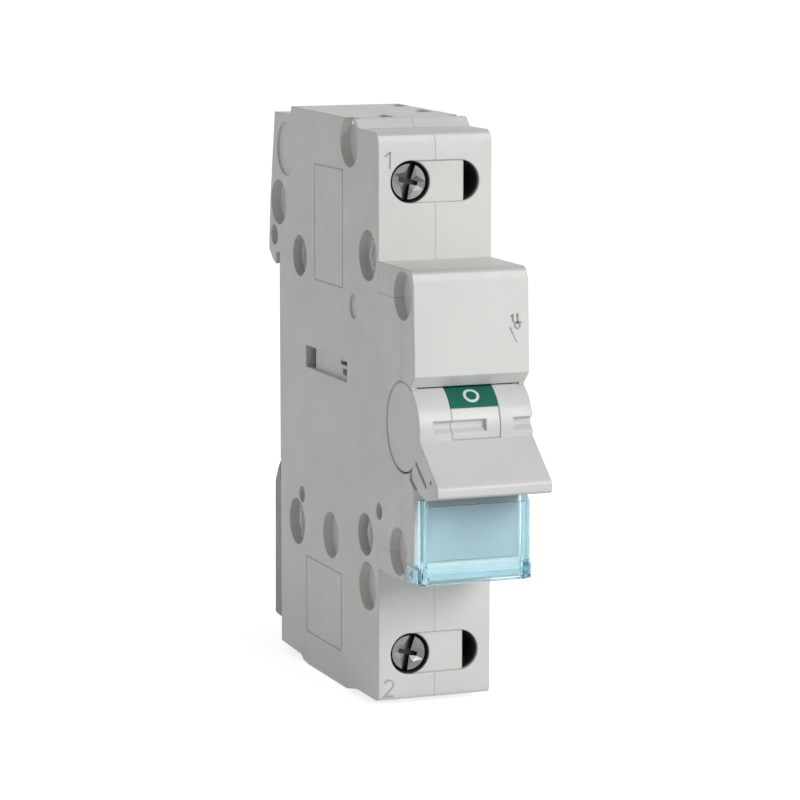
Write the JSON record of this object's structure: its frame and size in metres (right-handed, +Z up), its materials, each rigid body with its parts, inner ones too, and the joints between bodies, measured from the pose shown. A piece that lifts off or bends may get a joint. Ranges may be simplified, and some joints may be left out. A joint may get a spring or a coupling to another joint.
{
  "type": "din rail switch disconnector",
  "caption": "Single module rail-mounted switch disconnector with a tilting lever, screw clamp terminals, a rail clip and a clear label flap.",
  "frame": {"origin": "on the rail seat plane, midway across the module and level with the middle of the raised nose", "axes": "+X across the module to the right seen from the front, +Y out of the back towards the rail, +Z up; the lever faces -Y"},
  "size_m": [0.0176, 0.0721, 0.0859],
  "materials": {
    "housing": "fine satin moulded polyamide",
    "rivet": "nickel plated",
    "insert": "satin",
    "bar": "plain copper alloy",
    "tip": "silver alloy",
    "card": "plain card",
    "clip": "satin",
    "lever": "fine satin",
    "green": "printed green",
    "red": "printed red",
    "steel": "zinc plated",
    "spring": "spring steel",
    "carrier": "glass filled thermoset",
    "screw": "nickel plated",
    "cage": "zinc plated",
    "flap": "clear blue tinted polycarbonate"
  },
  "bodies": {
    "housing": {"left_shell": "housing", "right_shell": "housing", "nose_cover": "housing", "label_holder": "housing", "housing_rivets": "rivet", "upper_slot_insert": "insert", "lower_slot_insert": "insert", "upper_terminal_bar": "bar", "lower_terminal_bar": "bar", "fixed_contact_tips": "tip", "label_card": "card", "handle_spring": "spring"},
    "clip": {"rail_clip": "clip"},
    "lever": {"handle": "lever", "handle_core": "lever", "off_indicator": "green", "on_indicator": "red", "handle_axle": "steel"},
    "link": {"drive_link": "steel"},
    "carrier": {"contact_carrier": "carrier", "contact_bridge": "bar", "moving_contact_tips": "tip", "contact_spring": "spring"},
    "upper_screw": {"upper_terminal_screw": "screw"},
    "lower_screw": {"lower_terminal_screw": "screw"},
    "upper_cage": {"upper_clamp_cage": "cage"},
    "lower_cage": {"lower_clamp_cage": "cage"},
    "flap": {"label_flap": "flap"}
  },
  "joints": [
    {"name": "handle_swing", "type": "hinge", "parent": "housing", "child": "lever", "pos_m": [0, -0.0538, -0.0002], "axis": [-1, 0, 0], "range_deg": [0, 70]},
    {"name": "link_turn", "type": "hinge", "parent": "lever", "child": "link", "pos_m": [0, -0.05563, 0.00242], "axis": [-1, 0, 0], "range_deg": [-70.5, 0.5]},
    {"name": "carrier_slide", "type": "slide", "parent": "housing", "child": "carrier", "axis": [0, 1, 0], "range_m": [0, 0.00368]},
    {"name": "flap_hinge", "type": "hinge", "parent": "housing", "child": "flap", "pos_m": [0, -0.056, -0.02115], "axis": [1, 0, 0], "range_deg": [0, 90]},
    {"name": "clip_slide", "type": "slide", "parent": "housing", "child": "clip", "axis": [0, 0, -1], "range_m": [0, 0.004]},
    {"name": "upper_screw_turn", "type": "hinge", "parent": "housing", "child": "upper_screw", "pos_m": [-0.0038, -0.042, 0.0338], "axis": [0, -1, 0], "range_deg": [0, 1801]},
    {"name": "lower_screw_turn", "type": "hinge", "parent": "housing", "child": "lower_screw", "pos_m": [-0.0038, -0.042, -0.0356], "axis": [0, -1, 0], "range_deg": [0, 1801]},
    {"name": "upper_cage_lift", "type": "slide", "parent": "housing", "child": "upper_cage", "axis": [0, -1, 0], "range_m": [0, 0.004]},
    {"name": "lower_cage_lift", "type": "slide", "parent": "housing", "child": "lower_cage", "axis": [0, -1, 0], "range_m": [0, 0.004]}
  ],
  "couplings": [
    {"joint": "link_turn", "follows": "handle_swing", "ratio": -1},
    {"joint": "carrier_slide", "follows": "handle_swing", "m_per_rad": 0.003005},
    {"joint": "upper_screw_turn", "follows": "upper_cage_lift", "rad_per_m": 7854},
    {"joint": "lower_screw_turn", "follows": "lower_cage_lift", "rad_per_m": 7854}
  ]
}
